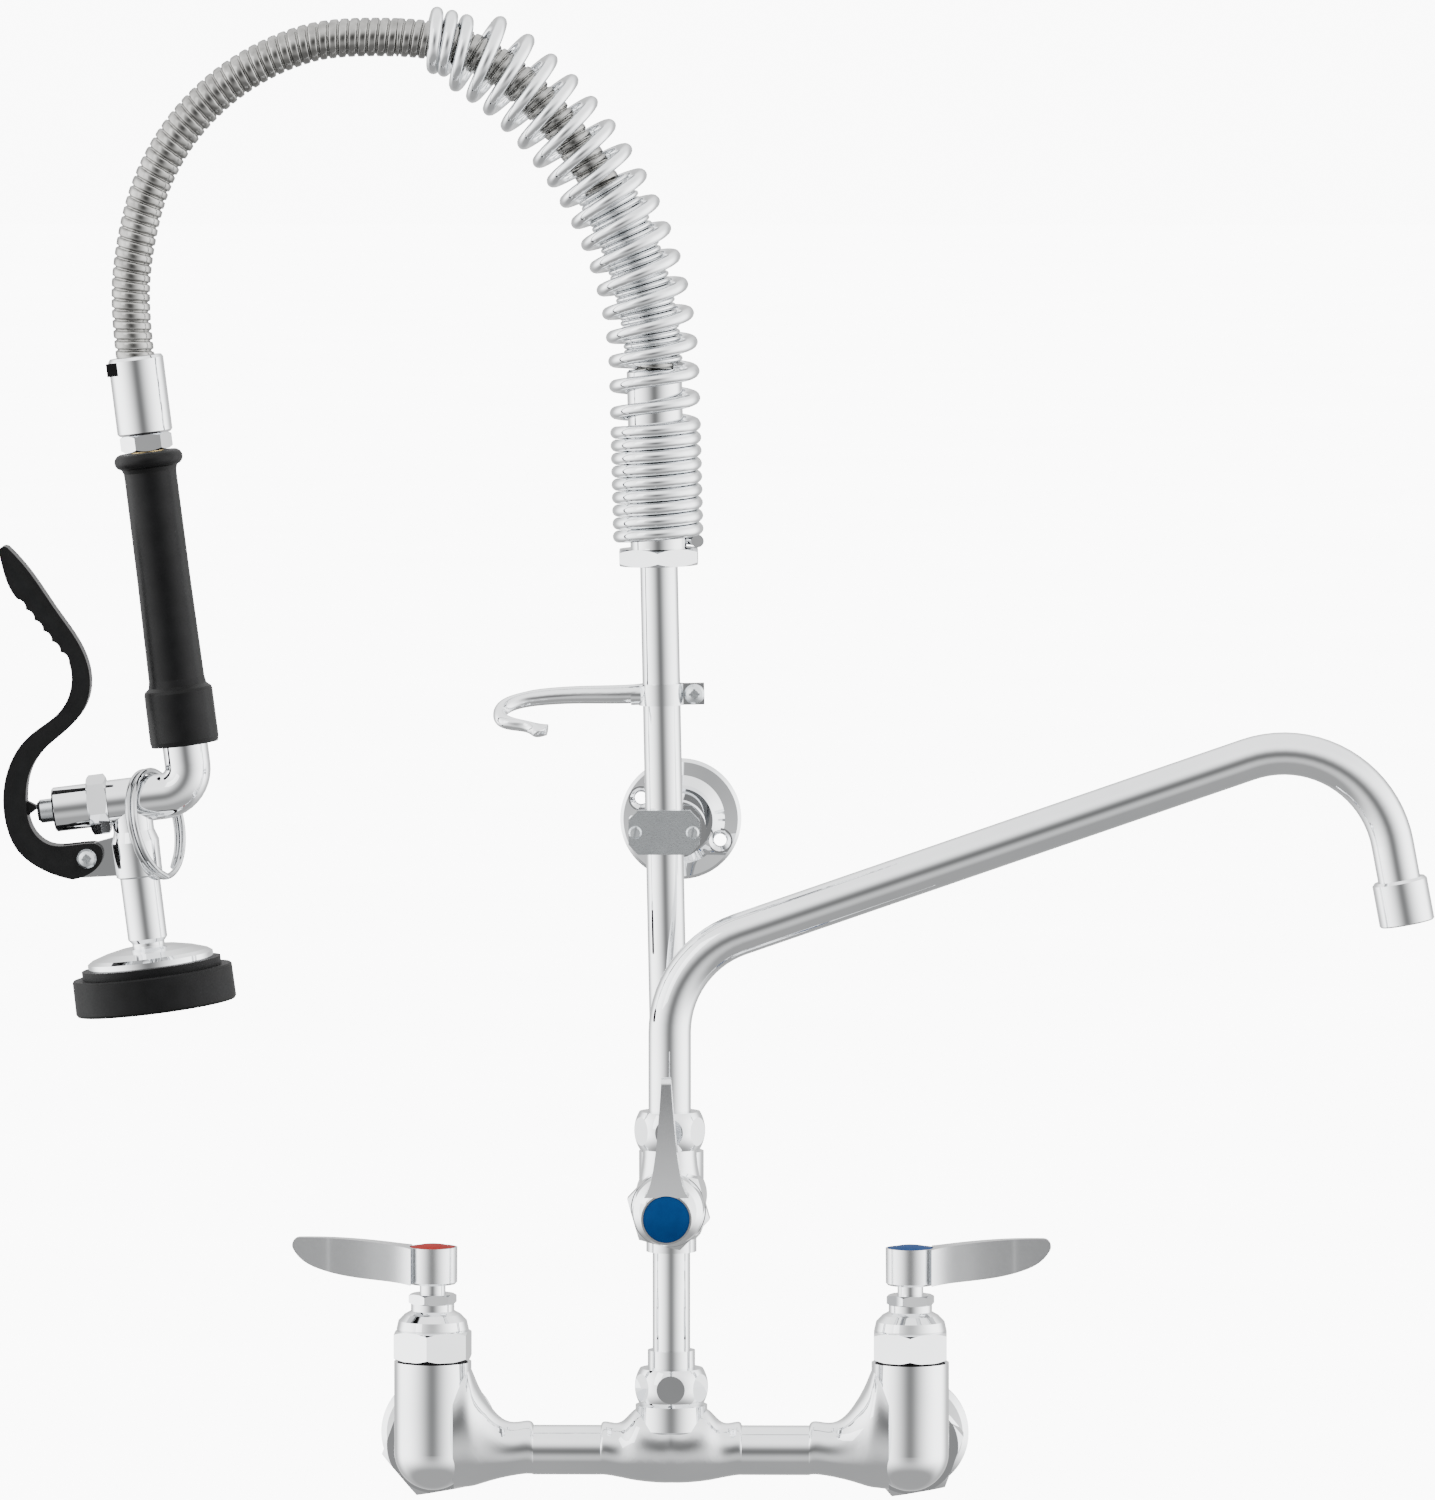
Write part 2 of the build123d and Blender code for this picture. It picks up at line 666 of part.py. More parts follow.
def grip():
    bead = ThreePointArc((12.0, 0, -40.6), (14.6, 0, -43.9), (12.0, 0, -47.2))
    side = Polyline(
        (12.0, 0, -47.2),
        (11.3, 0, -49.0),
        (11.2, 0, -51.0),
        (11.35, 0, -95.0),
        (11.9, 0, -137.5),
        (12.4, 0, -140.5),
        (14.2, 0, -142.0),
        (14.6, 0, -143.2),
        (14.7, 0, -163.6),
        (14.2, 0, -165.7),
        (7.0, 0, -165.7),
        (7.0, 0, -40.6),
        (12.0, 0, -40.6),
    )
    return in_spray(revolve(make_face([bead, side]), Axis.Z))


def spray_body():
    bend = FilletPolyline((0, 0, -165.9), (0, 0, NECK_Z), (-35.3, 0, NECK_Z), radius=12.0)
    passage = FilletPolyline((0, 0, -165.0), (0, 0, NECK_Z), (-37.0, 0, NECK_Z), radius=12.0)
    body = pipe(bend, 9.7)
    outlet = turned(
        (0, NECK_Z),
        (8.7, NECK_Z),
        (8.7, -199.5),
        (10.2, -204.0),
        (9.9, -218.6),
        (8.5, -219.4),
        (8.4, -245.6),
        (6.9, -247.4),
        (6.9, -250.5),
        (0, -250.5),
    )
    body += Pos(OUTLET_X, 0, 0) * outlet
    lug = Polyline(
        (-30.0, -200.5),
        (-46.0, -202.8),
        (-52.0, -205.5),
        (-53.2, -216.4),
        (-30.0, -218.0),
        close=True,
    )
    body += extrude(Plane.XZ * make_face(lug), LUG_WIDTH / 2, both=True)
    body -= pipe(passage, 5.0)
    body -= rod(7.0, -174.0, -160)
    body -= Pos(OUTLET_X, 0, 0) * rod(3.6, -260, NECK_Z)
    body -= Pos(PIVOT_X, 0, PIVOT_Z) * Rot(90, 0, 0) * Cylinder(2.08, 20)
    return in_spray(body)


def plunger_housing():
    housing = hex_nut(22.6, -8.7, -0.4, 15, 1.0)
    housing += turned((0, -23.9), (8.6, -23.9), (9.45, -23.1), (9.45, -8.0), (0, -8.0))
    housing -= rod(5.0 + RUNNING_GAP, -25, -19) + rod(7.1, -20.7, 0)
    return in_spray(sideways(-35.0) * housing)


def plunger():
    head = turned(
        (0, -30.7),
        (3.6, -30.7),
        (5.0, -29.3),
        (5.0, -20.4),
        (6.8, -20.4),
        (6.8, -18.6),
        (2.4, -18.6),
        (2.4, 4.0),
        (4.4, 5.0),
        (4.4, 8.0),
        (0, 8.0),
    )
    return in_spray(sideways(-35.0) * head)


def valve_spring():
    """Return spring between the plunger's collar and the body."""
    points = []
    turns, per_turn, low, high = 6, 8, -17.9, -1.3
    for step in range(turns * per_turn + 1):
        angle = 2 * pi * step / per_turn
        height = low + (high - low) * step / (turns * per_turn)
        points.append((5.9 * cos(angle), 5.9 * sin(angle), height))
    return in_spray(sideways(-35.0) * pipe(coil_path(points), 0.6))


def spray_bell():
    bell = turned(
        (4.0, -250.6),
        (6.95, -250.6),
        (6.95, -248.6),
        (12.0, -249.2),
        (19.0, -250.7),
        (24.8, -252.6),
        (26.8, -254.0),
        (26.8, -256.5),
        (21.0, -256.5),
        (20.0, -253.6),
        (4.0, -252.2),
    )
    return in_spray(Pos(OUTLET_X, 0, 0) * bell)


def spray_face():
    cup = rod(21.9, -268.0, -256.6) - rod(19.6, -265.0, -250)
    for index in range(12):
        cup -= Rot(0, 0, 30 * index) * Pos(14.0, 0, 0) * rod(1.1, -270, -260)
    for index in range(6):
        cup -= Rot(0, 0, 60 * index) * Pos(7.0, 0, 0) * rod(1.1, -270, -260)
    return in_spray(Pos(OUTLET_X, 0, 0) * cup)


def spray_bumper():
    ring = turned(
        (22.0, -256.5),
        (29.7, -256.5),
        (29.7, -260.0),
        (33.6, -260.0),
        (34.1, -260.6),
        (34.3, -274.2),
        (33.6, -275.3),
        (24.0, -275.3),
        (22.0, -273.3),
    )
    return in_spray(Pos(OUTLET_X, 0, 0) * ring)


def squeeze_lever():
    """S-shaped lever: scalloped thumb rest, bow round the plunger, and two cheeks at the pivot."""
    back = Spline((-67.4, -76.0), (-66.4, -84.0), (-64.8, -90.5), (-62.2, -95.5))
    scallops = []
    foot = (-62.2, -95.5)
    for index in range(6):
        end = (foot[0] + 3.05, foot[1] - 4.9)
        middle = ((foot[0] + end[0]) / 2 + 1.0, (foot[1] + end[1]) / 2 + 0.6)
        scallops.append(ThreePointArc(foot, middle, end))
        foot = end
    bow = Spline(
        foot,
        (-43.6, -131.5),
        (-47.0, -141.0),
        (-55.0, -148.4),
        (-66.0, -154.8),
        (-74.5, -165.0),
        (-79.0, -178.5),
        (-79.2, -190.0),
        (-76.0, -201.0),
        (-67.5, -210.0),
        (-54.0, -216.6),
    )
    toe = Spline((-54.0, -216.6), (-46.4, -214.8), (-41.2, -210.6), (-40.0, -206.0), (-43.0, -202.4))
    inside = Spline(
        (-43.0, -202.4),
        (-53.0, -202.0),
        (-62.0, -200.6),
        (-68.0, -194.5),
        (-69.8, -186.0),
        (-69.0, -177.0),
        (-65.4, -167.2),
        (-58.0, -159.4),
        (-47.0, -152.0),
        (-38.6, -142.6),
        (-35.9, -131.5),
        (-38.6, -118.0),
        (-46.5, -102.5),
        (-55.0, -86.0),
        (-63.4, -73.6),
    )
    tip = ThreePointArc((-63.4, -73.6), (-66.0, -72.8), (-67.4, -76.0))
    profile = make_face([back, *scallops, bow, toe, inside, tip])
    lever = extrude(Plane.XZ * profile, LEVER_WIDTH / 2, both=True)
    nub = Polyline((-70.5, -188.0), (-66.1, -185.4), (-66.1, -183.6), (-70.0, -181.0), close=True)
    lever += extrude(Plane.XZ * make_face(nub), 3.0, both=True)
    pivot = Pos(PIVOT_X, 0, PIVOT_Z) * Rot(90, 0, 0)
    slot = pivot * Cylinder(11.6, LUG_WIDTH + 0.8)
    slot += Pos(PIVOT_X + 8.0, 0, PIVOT_Z) * Box(20.0, LUG_WIDTH + 0.8, 30.0)
    return in_spray(lever - slot - pivot * Cylinder(2.0, 40))


def lever_screw():
    face = LEVER_WIDTH / 2
    head = turned((0, 0), (4.2, 0), (4.2, 0.6), (3.3, 1.9), (1.8, 2.5), (0, 2.6))
    head -= Pos(0, 0, 2.6) * Box(0.8, 4.2, 2.0) + Pos(0, 0, 2.6) * Box(4.2, 0.8, 2.0)
    screw = Pos(0, 0, face) * head + rod(2.0, -face - 0.6, face + 0.1)
    return in_spray(Pos(PIVOT_X, 0, PIVOT_Z) * along_y(0, 0) * screw)


def hold_down_ring():
    """Split ring of two turns that hangs on the neck and hooks over the lever."""
    centre = Vector(-218.6, BODY_Y, 267.8)
    normal = Vector(0.903, -0.375, 0.209).normalized()
    frame = Plane(origin=centre, x_dir=Vector(0.228, 0, -0.974), z_dir=normal)
    points = []
    turns, per_turn, pitch = 1.9, 16, 2 * RING_WIRE_R + 0.1
    for step in range(int(turns * per_turn) + 1):
        angle = 2 * pi * step / per_turn + 0.5
        height = pitch * (step / per_turn - turns / 2)
        corner = Vector(RING_R * cos(angle), RING_R * sin(angle), height)
        points.append(frame.from_local_coords(corner))
    return pipe(coil_path([tuple(point) for point in points]), RING_WIRE_R)


# ---- All pieces ------------------------------------------------------------------------------
def valve_pieces(name, place, nut_turn):
    """Pieces of one valve; place moves the stack onto its housing, blade along the local +X."""
    return {
        f"{name}_bonnet_nut": place * bonnet_nut(nut_turn),
        f"{name}_stem": place * stem(),
        f"{name}_handle": place * lever_handle(),
        f"{name}_handle_screw": place * handle_screw(),
        f"{name}_index_cap": place * index_cap(),
    }


def all_pieces():
    hot = Pos(-TOWER_X, BODY_Y, TOWER_TOP) * Rot(0, 0, 180)
    cold = Pos(TOWER_X, BODY_Y, TOWER_TOP)
    addon = along_y(0, ADDON_Z, BODY_Y - ADDON_FACE) * Rot(0, 0, 90)
    stacks = (hot, cold, addon)
    flanges, nuts, washers = inlets()
    pieces = {
        "bridge_body": bridge_body(),
        "inlet_flanges": flanges,
        "coupling_nuts": nuts,
        "sealing_washers": washers + [place * bonnet_washer() for place in stacks],
        "packing_nuts": [place * packing_nut(12) for place in stacks],
        "valve_cartridges": [place * cartridge() for place in stacks],
        **valve_pieces("hot", hot, 24),
        **valve_pieces("cold", cold, 30),
        **valve_pieces("addon", addon, 76),
        "centre_nut": centre_nut(),
        "riser_nipple": riser_nipple(),
        "addon_body": addon_body(),
        "riser_coupling_nut": riser_coupling_nut(),
        "riser_pipe": riser_pipe(),
        "riser_top_nut": riser_top_nut(),
        "spout_nut": spout_nut(),
        "spout_pipe": spout_pipe(),
        "spout_o_rings": spout_o_rings(),
        "spout_nozzle": spout_nozzle(),
        "flow_straightener": flow_straightener(),
        "wall_flange": wall_flange(),
        "bracket_arm": bracket_arm(),
        "clamp_saddle": clamp_saddle(),
        "clamp_plate": clamp_plate(),
        "clamp_screws": clamp_screws(),
        "finger_hook": finger_hook(),
        "hook_screw": hook_screw(),
        "hose_sleeve": hose_sleeve(),
        "spring_guard": spring_guard(),
        "inner_spring": inner_spring(),
        "guarded_hose": hose((*sleeve_line(), *GUARDED_ROUTE), "guarded_hose"),
        "free_hose": hose(FREE_ROUTE, "free_hose"),
        "hose_ferrule": hose_ferrule(),
        "ferrule_plug": ferrule_plug(),
        "swivel_nut": swivel_nut(),
        "grip_tube": grip_tube(),
        "grip": grip(),
        "spray_body": spray_body(),
        "plunger_housing": plunger_housing(),
        "plunger": plunger(),
        "valve_spring": valve_spring(),
        "spray_bell": spray_bell(),
        "spray_face": spray_face(),
        "spray_bumper": spray_bumper(),
        "squeeze_lever": squeeze_lever(),
        "lever_screw": lever_screw(),
        "hold_down_ring": hold_down_ring(),
    }
    return pieces


def write(pieces):
    os.makedirs("parts", exist_ok=True)
    for name, piece in pieces.items():
        solids = piece if isinstance(piece, list) else [piece]
        solids = [solid for item in solids for solid in item.solids()]
        shape = Compound(children=solids) if len(solids) > 1 else solids[0]
        export_step(shape, f"parts/{name}.step")


write(all_pieces())
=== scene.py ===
import json
from math import ceil, cos, pi, radians, sin

import bpy
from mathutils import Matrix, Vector


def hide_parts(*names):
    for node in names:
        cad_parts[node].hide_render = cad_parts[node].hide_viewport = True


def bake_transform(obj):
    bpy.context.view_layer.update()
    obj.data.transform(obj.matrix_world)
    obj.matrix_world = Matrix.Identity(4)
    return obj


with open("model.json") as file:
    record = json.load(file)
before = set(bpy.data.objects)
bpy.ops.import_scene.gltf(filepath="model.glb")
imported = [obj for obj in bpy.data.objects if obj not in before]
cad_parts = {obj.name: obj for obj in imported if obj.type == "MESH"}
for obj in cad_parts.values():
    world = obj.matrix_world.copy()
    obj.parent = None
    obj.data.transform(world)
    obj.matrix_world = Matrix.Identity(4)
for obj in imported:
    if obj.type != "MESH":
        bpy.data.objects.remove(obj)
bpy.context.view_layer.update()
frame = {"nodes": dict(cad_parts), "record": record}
nodes = frame["nodes"]

MM = 0.001
BODY_Y = -65.0


# ---- Materials -------------------------------------------------------------------------------
def new_material(name):
    material = bpy.data.materials.new(name)
    material.use_nodes = True
    tree = material.node_tree
    shader = tree.nodes["Principled BSDF"]
    return material, tree, shader


def noise(tree, scale, detail=4.0, stretch=None):
    """Noise in the object's own coordinates, in cycles per metre."""
    place = tree.nodes.new("ShaderNodeTexCoord")
    texture = tree.nodes.new("ShaderNodeTexNoise")
    texture.inputs["Scale"].default_value = scale
    texture.inputs["Detail"].default_value = detail
    source = place.outputs["Object"]
    if stretch:
        mapping = tree.nodes.new("ShaderNodeMapping")
        mapping.inputs["Scale"].default_value = stretch
        tree.links.new(source, mapping.inputs["Vector"])
        source = mapping.outputs["Vector"]
    tree.links.new(source, texture.inputs["Vector"])
    return texture.outputs["Fac"]


def spread(tree, factor, low, high, start=0.3, stop=0.7):
    """Map a 0-1 factor to a range of values."""
    node = tree.nodes.new("ShaderNodeMapRange")
    node.inputs["From Min"].default_value = start
    node.inputs["From Max"].default_value = stop
    node.inputs["To Min"].default_value = low
    node.inputs["To Max"].default_value = high
    tree.links.new(factor, node.inputs["Value"])
    return node.outputs["Result"]


def tint(tree, factor, dark, light, start=0.3, stop=0.7):
    ramp = tree.nodes.new("ShaderNodeValToRGB")
    ramp.color_ramp.elements[0].position = start
    ramp.color_ramp.elements[0].color = (*dark, 1)
    ramp.color_ramp.elements[1].position = stop
    ramp.color_ramp.elements[1].color = (*light, 1)
    tree.links.new(factor, ramp.inputs["Fac"])
    return ramp.outputs["Color"]


def relief(tree, shader, factor, depth, strength=1.0):
    bump = tree.nodes.new("ShaderNodeBump")
    bump.inputs["Distance"].default_value = depth
    bump.inputs["Strength"].default_value = strength
    tree.links.new(factor, bump.inputs["Height"])
    tree.links.new(bump.outputs["Normal"], shader.inputs["Normal"])
    return bump


def metal(name, dark, light, rough, scale=60.0, grain=None, depth=0.0, grain_scale=900.0):
    """Metal whose colour and polish vary a little; grain stretches a fine brushed relief."""
    material, tree, shader = new_material(name)
    shader.inputs["Metallic"].default_value = 1.0
    broad = noise(tree, scale)
    tree.links.new(tint(tree, broad, dark, light), shader.inputs["Base Color"])
    fine = noise(tree, grain_scale, 3.0, grain)
    tree.links.new(spread(tree, fine, rough[0], rough[1]), shader.inputs["Roughness"])
    if depth:
        relief(tree, shader, fine, depth)
    return material


def dull(name, dark, light, rough, scale=150.0, depth=0.00002, grain_scale=1800.0, coat=0.0, specular=0.5):
    """Plastic or rubber with a fine moulded texture."""
    material, tree, shader = new_material(name)
    broad = noise(tree, scale)
    tree.links.new(tint(tree, broad, dark, light), shader.inputs["Base Color"])
    fine = noise(tree, grain_scale, 2.0)
    tree.links.new(spread(tree, fine, rough[0], rough[1]), shader.inputs["Roughness"])
    shader.inputs["Coat Weight"].default_value = coat
    shader.inputs["Specular IOR Level"].default_value = specular
    relief(tree, shader, fine, depth, 0.6)
    return material


DULL_FINISHES = {
    "seal_rubber": ((0.004, 0.004, 0.004), (0.007, 0.007, 0.007), (0.5, 0.65), 0.1),
    "bumper_rubber": ((0.004, 0.004, 0.0042), (0.0065, 0.0065, 0.007), (0.42, 0.55), 0.1),
    "grip_black": ((0.0035, 0.0035, 0.0038), (0.006, 0.006, 0.0064), (0.34, 0.44), 0.12),
    "lever_black": ((0.005, 0.005, 0.0053), (0.008, 0.008, 0.0084), (0.3, 0.4), 0.16),
    "grey_plastic": ((0.06, 0.062, 0.065), (0.09, 0.092, 0.095), (0.4, 0.55), 0.2),
    "red_cap": ((0.19, 0.003, 0.002), (0.24, 0.005, 0.003), (0.42, 0.5), 0.05),
    "blue_cap": ((0.0, 0.024, 0.1), (0.0005, 0.032, 0.122), (0.42, 0.5), 0.05),
}
MATERIALS = {
    "chrome": metal("chrome", (0.76, 0.775, 0.79), (0.85, 0.86, 0.875), (0.01, 0.025), 25.0),
    "brass": metal("brass", (0.6, 0.44, 0.2), (0.72, 0.56, 0.28), (0.22, 0.34)),
    "steel": metal(
        "steel", (0.58, 0.61, 0.63), (0.64, 0.67, 0.69), (0.24, 0.34), 90.0, (1, 1, 12), 0.000004
    ),
    "spring_steel": metal("spring_steel", (0.7, 0.72, 0.735), (0.82, 0.83, 0.845), (0.02, 0.04), 120.0),
    "hose_steel": metal("hose_steel", (0.2, 0.197, 0.19), (0.34, 0.337, 0.325), (0.1, 0.18), 200.0),
    "cast_chrome": metal("cast_chrome", (0.72, 0.735, 0.75), (0.8, 0.81, 0.825), (0.15, 0.2), 40.0),
    # The hold-down ring is chrome; this darker copy of the chrome has painted shade in its base colour, in
    # place of the dark reflections round the ring.
    "ring_chrome_painted_shade": metal("ring_chrome_painted_shade", (0.4, 0.41, 0.42), (0.52, 0.53, 0.54), (0.04, 0.08), 120.0),
}
for finish, (dark, light, rough, specular) in DULL_FINISHES.items():
    MATERIALS[finish] = dull(finish, dark, light, rough, specular=specular)

FINISHES = {
    "hot_handle": "cast_chrome",
    "cold_handle": "cast_chrome",
    "addon_handle": "cast_chrome",
    # The ring gets the darker chrome copy, with painted shade in its base colour.
    "hold_down_ring": "ring_chrome_painted_shade",
}

for entry in frame["record"]["subparts"]:
    piece = nodes[entry["node"]]
    piece.data.materials.clear()
    piece.data.materials.append(MATERIALS[FINISHES.get(entry["node"], entry["material_slot"])])


# ---- Meshes along a line ---------------------------------------------------------------------
def skin(name, centres, radius_at, sides, slot_name, closed_ends=True):
    """Tube mesh round a line of points in mm; radius_at(distance, angle) gives its surface."""
    points = [Vector(point) for point in centres]
    tangents = []
    for index in range(len(points)):
        before = points[max(index - 1, 0)]
        after = points[min(index + 1, len(points) - 1)]
        tangents.append((after - before).normalized())
    across = Vector((0, 1, 0))
    if abs(tangents[0].dot(across)) > 0.9:
        across = Vector((1, 0, 0))
    normal = (across - tangents[0] * across.dot(tangents[0])).normalized()
    vertices, faces = [], []
    distance = 0.0
    for index, (point, tangent) in enumerate(zip(points, tangents)):
        if index:
            distance += (point - points[index - 1]).length
            normal = (normal - tangent * normal.dot(tangent)).normalized()
        binormal = tangent.cross(normal)
        for side in range(sides):
            angle = 2 * pi * side / sides
            radius = radius_at(distance, angle)
            vertices.append((point + (normal * cos(angle) + binormal * sin(angle)) * radius) * MM)
    for index in range(len(points) - 1):
        for side in range(sides):
            a = index * sides + side
            b = index * sides + (side + 1) % sides
            faces.append((a, b, b + sides, a + sides))
    if closed_ends:
        faces.append(tuple(reversed(range(sides))))
        faces.append(tuple(range((len(points) - 1) * sides, len(points) * sides)))
    mesh = bpy.data.meshes.new(name)
    mesh.from_pydata(vertices, [], faces)
    mesh.update()
    for polygon in mesh.polygons:
        polygon.use_smooth = len(polygon.vertices) == 4
    piece = bpy.data.objects.new(name, mesh)
    bpy.context.scene.collection.objects.link(piece)
    piece.data.materials.append(MATERIALS[slot_name])
    return piece


def round_wire(radius):
    return lambda distance, angle: radius


# ---- Springs, on the same line as the CAD ones -----------------------------------------------
GUARD_START = (-5.4, 387.8)
GUARD_HEADING = 1.4
GUARD_BENDS = ((71.0, 0.0), (144.0, 48.6), (46.0, 38.0))
CLOSED_TURNS, OPEN_TURNS, END_TURNS = 9, 17, 2.25
CLOSED_PITCH, OPEN_PITCH = 5.5, 11.25
SLEEVE_TOP = 73.2


def bend_line(distance):
    """Place and heading on the guard's axis, headings in degrees from vertical towards -X."""
    x, z = GUARD_START
    heading = GUARD_HEADING
    for length, turn in GUARD_BENDS:
        step = min(distance, length)
        swept = turn * step / length
        middle = radians(heading + swept / 2)
        half = radians(swept / 2)
        chord = step * sin(half) / half if half else step
        x -= chord * sin(middle)
        z += chord * cos(middle)
        heading += swept
        distance -= step
    x -= distance * sin(radians(heading))
    z += distance * cos(radians(heading))
    return x, z, heading


def wound(line, turns, per_turn):
    centres = []
    for step in range(int(turns * per_turn) + 1):
        turn = step / per_turn
        x, z, heading, radius = line(turn)
        angle = 2 * pi * turn
        tilt = radians(heading)
        side = radius * cos(angle)
        centres.append((x + side * cos(tilt), BODY_Y + radius * sin(angle), z + side * sin(tilt)))
    return centres


def guard_turn(turn):
    closed = min(turn, CLOSED_TURNS)
    opened = min(max(turn - CLOSED_TURNS, 0), OPEN_TURNS)
    ending = max(turn - CLOSED_TURNS - OPEN_TURNS, 0)
    distance = CLOSED_PITCH * (closed + ending) + OPEN_PITCH * opened
    ease = min(max((opened - OPEN_TURNS + 0.6) / 0.6, 0), 1)
    return *bend_line(distance), 16.6 + (11.6 - 16.6) * ease


def inner_turn(turn):
    return *bend_line(SLEEVE_TOP + 1.55 + 2.62 * turn), 11.1


guard_line = wound(guard_turn, CLOSED_TURNS + OPEN_TURNS + END_TURNS, 32)
guard = skin("spring_guard_wire", guard_line, round_wire(2.7), 16, "spring_steel")
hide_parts("spring_guard")
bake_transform(guard)

inner_line = wound(inner_turn, 30, 28)
inner = skin("inner_spring_wire", inner_line, round_wire(1.25), 10, "spring_steel")
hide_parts("inner_spring")
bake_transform(inner)


# ---- Hose ------------------------------------------------------------------------------------
HOSE_R = 8.25
GUARDED_ROUTE = (
    (-7.188, 460.978),
    (-7.577, 476.873),
    (-16.0, 512.0),
    (-31.7, 544.5),
    (-53.8, 573.0),
    (-76.6, 592.1),
    (-98.3, 600.4),
    (-115.3, 601.0),
)
FREE_ROUTE = (
    (-115.3, 601.0),
    (-140.8, 601.9),
    (-165.6, 595.0),
    (-188.4, 581.7),
    (-207.0, 563.1),
    (-220.0, 540.3),
    (-226.8, 514.5),
    (-229.4553, 488.0),
    (-226.74, 466.2),
)


def spline_points(name, route):
    """Points along the NURBS line whose control points are the route's own."""
    curve = bpy.data.curves.new(name, "CURVE")
    curve.dimensions = "3D"
    curve.resolution_u = 40
    spline = curve.splines.new("NURBS")
    spline.points.add(len(route) - 1)
    for point, (x, z) in zip(spline.points, route):
        point.co = (x * MM, BODY_Y * MM, z * MM, 1)
    spline.order_u = 3
    spline.use_endpoint_u = True
    holder = bpy.data.objects.new(name, curve)
    bpy.context.scene.collection.objects.link(holder)
    bpy.context.view_layer.update()
    mesh = bpy.data.meshes.new_from_object(holder)
    points = [Vector(vertex.co) for vertex in mesh.vertices]
    bpy.data.objects.remove(holder)
    return points


def evenly(points, spacing):
    """The same line with points at an even spacing, in metres."""
    lengths = [0.0]
    for before, after in zip(points, points[1:]):
        lengths.append(lengths[-1] + (after - before).length)
    count = ceil(lengths[-1] / spacing)
    result, index = [], 0
    for step in range(count + 1):
        target = lengths[-1] * step / count
        while index < len(points) - 2 and lengths[index + 1] < target:
            index += 1
        share = (target - lengths[index]) / (lengths[index + 1] - lengths[index])
        result.append(points[index].lerp(points[index + 1], min(max(share, 0), 1)))
    return result, lengths[-1]


def strip_wound(pitch, depth):
    """Surface of a strip-wound hose: rounded turns with a narrow groove between them."""
    def radius(distance, angle):
        phase = (distance / pitch + angle / (2 * pi)) % 1.0
        groove = max(0.0, 1.0 - abs(phase - 0.5) * 2 / 0.3)
        off_crown = min(phase, 1.0 - phase) * 2
        return HOSE_R - depth * groove ** 0.5 - 0.3 * off_crown**2
    return radius


def hose(name, route, node, pitch):
    line = spline_points(name + "_line", route)
    even, length = evenly(line, 0.00035)
    piece = skin(name, [point / MM for point in even], strip_wound(pitch, 1.0), 40, "hose_steel")
    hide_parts(node)
    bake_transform(piece)
    return piece


hose("guarded_hose_skin", GUARDED_ROUTE, "guarded_hose", 3.9)
hose("free_hose_skin", FREE_ROUTE, "free_hose", 4.2)


# ---- Floor, studio and lights ----------------------------------------------------------------
FLOOR_Z = -0.4
BACKDROP = 10.0
SPILL = 1.7

floor_mesh = bpy.data.meshes.new("floor")
floor_mesh.from_pydata(
    [(-30, -30, FLOOR_Z), (30, -30, FLOOR_Z), (30, 30, FLOOR_Z), (-30, 30, FLOOR_Z)], [], [(0, 1, 2, 3)]
)
floor = bpy.data.objects.new("floor", floor_mesh)
bpy.context.scene.collection.objects.link(floor)
floor_material, floor_tree, floor_shader = new_material("floor")
floor_grain = noise(floor_tree, 3.0)
floor_colour = tint(floor_tree, floor_grain, (0.78, 0.78, 0.78), (0.8, 0.8, 0.8))
floor_tree.links.new(floor_colour, floor_shader.inputs["Base Color"])
floor_tree.links.new(floor_colour, floor_shader.inputs["Emission Color"])
floor_shader.inputs["Emission Strength"].default_value = (BACKDROP - SPILL) / 0.79
floor_shader.inputs["Roughness"].default_value = 0.9
floor_shader.inputs["Specular IOR Level"].default_value = 0.0
floor_mesh.materials.append(floor_material)
floor.visible_glossy = False
floor.visible_diffuse = False

# Brightness of a plain soft studio: a dim room on the user's side, bright side walls, a grey wall behind.
FRONT = 0.25
SIDES = 5.0
BACK = 1.0
CEILING = 2.5
GROUND = 0.5


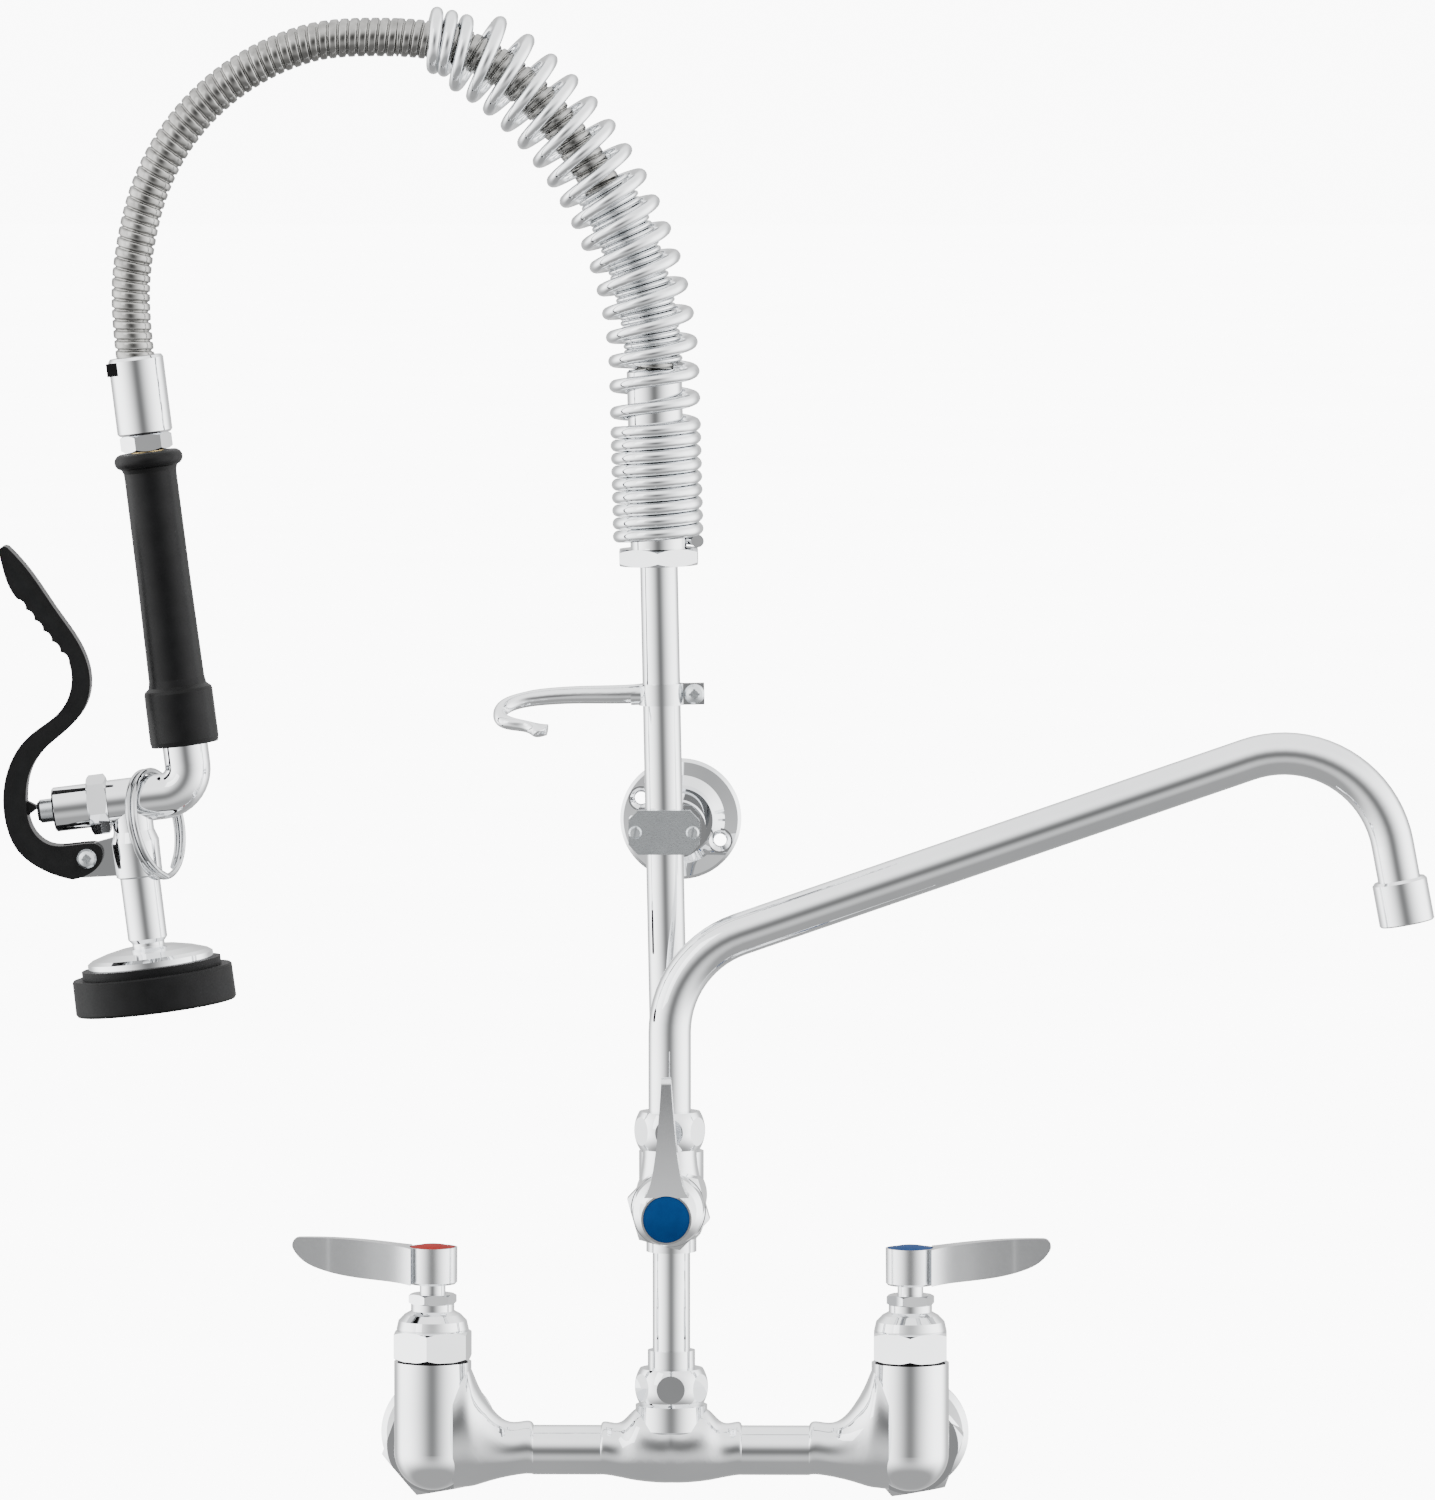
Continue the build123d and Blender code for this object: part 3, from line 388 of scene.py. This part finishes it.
def studio_world():
    """Soft surround seen in the metal; the camera itself sees an even white."""
    world = bpy.data.worlds.new("studio")
    world.use_nodes = True
    tree = world.node_tree
    background = tree.nodes["Background"]
    place = tree.nodes.new("ShaderNodeTexCoord")
    parts = tree.nodes.new("ShaderNodeSeparateXYZ")
    tree.links.new(place.outputs["Generated"], parts.inputs[0])

    def maths(operation, first, second):
        node = tree.nodes.new("ShaderNodeMath")
        node.operation = operation
        for socket, value in zip(node.inputs, (first, second)):
            if isinstance(value, (int, float)):
                socket.default_value = value
            else:
                tree.links.new(value, socket)
        return node.outputs[0]

    def ease(value, low, high):
        """Smooth step from 0 to 1 between two values of a direction's component."""
        node = tree.nodes.new("ShaderNodeMapRange")
        node.interpolation_type = "SMOOTHSTEP"
        node.inputs["From Min"].default_value = low
        node.inputs["From Max"].default_value = high
        tree.links.new(value, node.inputs["Value"])
        return node.outputs["Result"]

    def grey(level):
        return (level, level, level)

    def mixed(factor, first, second):
        node = tree.nodes.new("ShaderNodeMix")
        node.data_type = "RGBA"
        tree.links.new(factor, node.inputs["Factor"])
        for socket, value in ((node.inputs["A"], first), (node.inputs["B"], second)):
            if isinstance(value, tuple):
                socket.default_value = (*value, 1)
            else:
                tree.links.new(value, socket)
        return node.outputs["Result"]

    facing = maths("MAXIMUM", maths("MULTIPLY", parts.outputs["Y"], -1.0), 0.0)
    aside = maths("SUBTRACT", 1.0, maths("MULTIPLY", facing, facing))
    light = mixed(aside, grey(FRONT), grey(SIDES))
    light = mixed(ease(parts.outputs["Y"], 0.2, 0.8), light, grey(BACK))
    light = mixed(ease(parts.outputs["Z"], 0.2, 0.9), light, grey(CEILING))
    light = mixed(ease(parts.outputs["Z"], -0.15, -0.8), light, grey(GROUND))
    path = tree.nodes.new("ShaderNodeLightPath")
    seen = mixed(path.outputs["Is Camera Ray"], light, grey(BACKDROP))
    tree.links.new(seen, background.inputs["Color"])
    background.inputs["Strength"].default_value = 1.0
    bpy.context.scene.world = world


studio_world()


def soft_light(name, place, aim, size, power):
    light = bpy.data.lights.new(name, "AREA")
    light.shape = "RECTANGLE"
    light.size, light.size_y = size
    light.energy = power
    lamp = bpy.data.objects.new(name, light)
    lamp.location = place
    lamp.rotation_euler = (Vector(aim) - Vector(place)).to_track_quat("-Z", "Y").to_euler()
    lamp.visible_camera = False
    bpy.context.scene.collection.objects.link(lamp)


soft_light("key", (-2.2, -2.2, 1.6), (0, -0.07, 0.3), (1.2, 2.4), 14)

# ---- Camera ----------------------------------------------------------------------------------
camera_data = bpy.data.cameras.new("camera")
camera_data.sensor_width = 36.0
camera_data.lens = 283.2
camera_data.clip_end = 200.0
camera = bpy.data.objects.new("camera", camera_data)
camera.location = (0.115, -5.05, 0.675)
sight = Vector((0.0196, -0.065, 0.2996)) - camera.location
camera.rotation_euler = sight.to_track_quat("-Z", "Y").to_euler()
bpy.context.scene.collection.objects.link(camera)
bpy.context.scene.camera = camera
